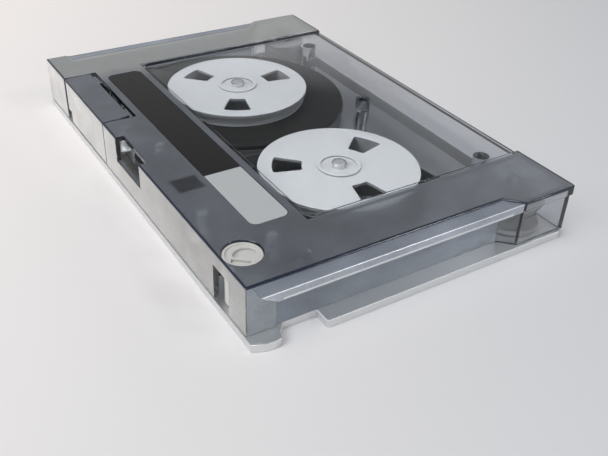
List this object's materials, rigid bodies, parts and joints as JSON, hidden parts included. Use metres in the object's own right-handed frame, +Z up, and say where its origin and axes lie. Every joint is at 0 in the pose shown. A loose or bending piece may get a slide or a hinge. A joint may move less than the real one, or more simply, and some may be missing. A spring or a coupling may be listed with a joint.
{
  "type": "data tape cartridge",
  "caption": "Belt-driven data tape cartridge: flat metal base plate under a smoked clear cover, with two tape reels, belt rollers, a sprung door and a write-protect plug.",
  "frame": {"origin": "bottom centre of the base plate", "axes": "+X along the length towards the door end, +Y towards the edge that enters the drive, +Z up through the cover"},
  "size_m": [0.1524, 0.1016, 0.0169],
  "materials": {
    "base_plate": "satin rolled sheet",
    "smoked_cover": "smoked polycarbonate, polished window and matt moulded border",
    "smoked_door": "smoked polycarbonate",
    "hub_white": "moulded acetal",
    "tape": "wound magnetic tape",
    "tape_run": "magnetic tape",
    "belt": "thin elastic belt",
    "drive_roller": "moulded black plastic",
    "belt_roller": "moulded natural plastic",
    "steel_pin": "ground stainless steel",
    "spring_steel": "bright spring wire",
    "screw_steel": "zinc plated",
    "mirror_face": "silvered glass",
    "plug_grey": "moulded pale grey plastic",
    "label": "black printed label with a bare silver end"
  },
  "bodies": {
    "housing": {"base_plate": "base_plate", "top_cover": "smoked_cover", "door_pin": "steel_pin", "door_spring": "spring_steel", "left_reel_shaft": "steel_pin", "right_reel_shaft": "steel_pin", "tape_span": "tape_run", "drive_belt": "belt", "drive_roller_shaft": "steel_pin", "left_belt_roller_shaft": "steel_pin", "right_belt_roller_shaft": "steel_pin", "end_of_tape_mirror": "mirror_face", "cover_screws": "screw_steel", "front_label": "label", "left_side_guide": "steel_pin", "left_front_guide": "steel_pin", "centre_guide": "steel_pin", "right_front_guide": "steel_pin"},
    "door": {"door": "smoked_door"},
    "write_protect_plug": {"write_protect_plug": "plug_grey"},
    "left_reel": {"left_reel_hub": "hub_white", "left_tape_pack": "tape"},
    "right_reel": {"right_reel_hub": "hub_white", "right_tape_pack": "tape"},
    "drive_roller": {"drive_roller": "drive_roller"},
    "left_belt_roller": {"left_belt_roller": "belt_roller"},
    "right_belt_roller": {"right_belt_roller": "belt_roller"}
  },
  "joints": [
    {"name": "drive_roller_spin", "type": "hinge", "parent": "housing", "child": "drive_roller", "pos_m": [0.0005, 0.04015, 0.0075], "axis": [0, 0, 1], "continuous": true},
    {"name": "right_reel_spin", "type": "hinge", "parent": "housing", "child": "right_reel", "pos_m": [0.03054, -0.00125, 0.0075], "axis": [0, 0, 1], "continuous": true},
    {"name": "left_reel_spin", "type": "hinge", "parent": "housing", "child": "left_reel", "pos_m": [-0.03214, -0.00125, 0.0075], "axis": [0, 0, 1], "continuous": true},
    {"name": "left_belt_roller_spin", "type": "hinge", "parent": "housing", "child": "left_belt_roller", "pos_m": [-0.0646, -0.0392, 0.0075], "axis": [0, 0, 1], "continuous": true},
    {"name": "right_belt_roller_spin", "type": "hinge", "parent": "housing", "child": "right_belt_roller", "pos_m": [0.0646, -0.0392, 0.0075], "axis": [0, 0, 1], "continuous": true},
    {"name": "door_hinge", "type": "hinge", "parent": "housing", "child": "door", "pos_m": [0.0548, 0.0488, 0.0085], "axis": [0, 0, -1], "range_deg": [0, 90], "stiffness_Nm_per_rad": 0.002, "springref_deg": -22.92},
    {"name": "write_protect_turn", "type": "hinge", "parent": "housing", "child": "write_protect_plug", "pos_m": [-0.0591, 0.0446, 0.0085], "axis": [0, 0, 1], "range_deg": [0, 180]}
  ],
  "couplings": [
    {"joint": "right_reel_spin", "follows": "drive_roller_spin", "ratio": -0.15207},
    {"joint": "left_reel_spin", "follows": "drive_roller_spin", "ratio": -0.21643},
    {"joint": "left_belt_roller_spin", "follows": "drive_roller_spin", "ratio": 0.84615},
    {"joint": "right_belt_roller_spin", "follows": "drive_roller_spin", "ratio": 0.84615}
  ]
}
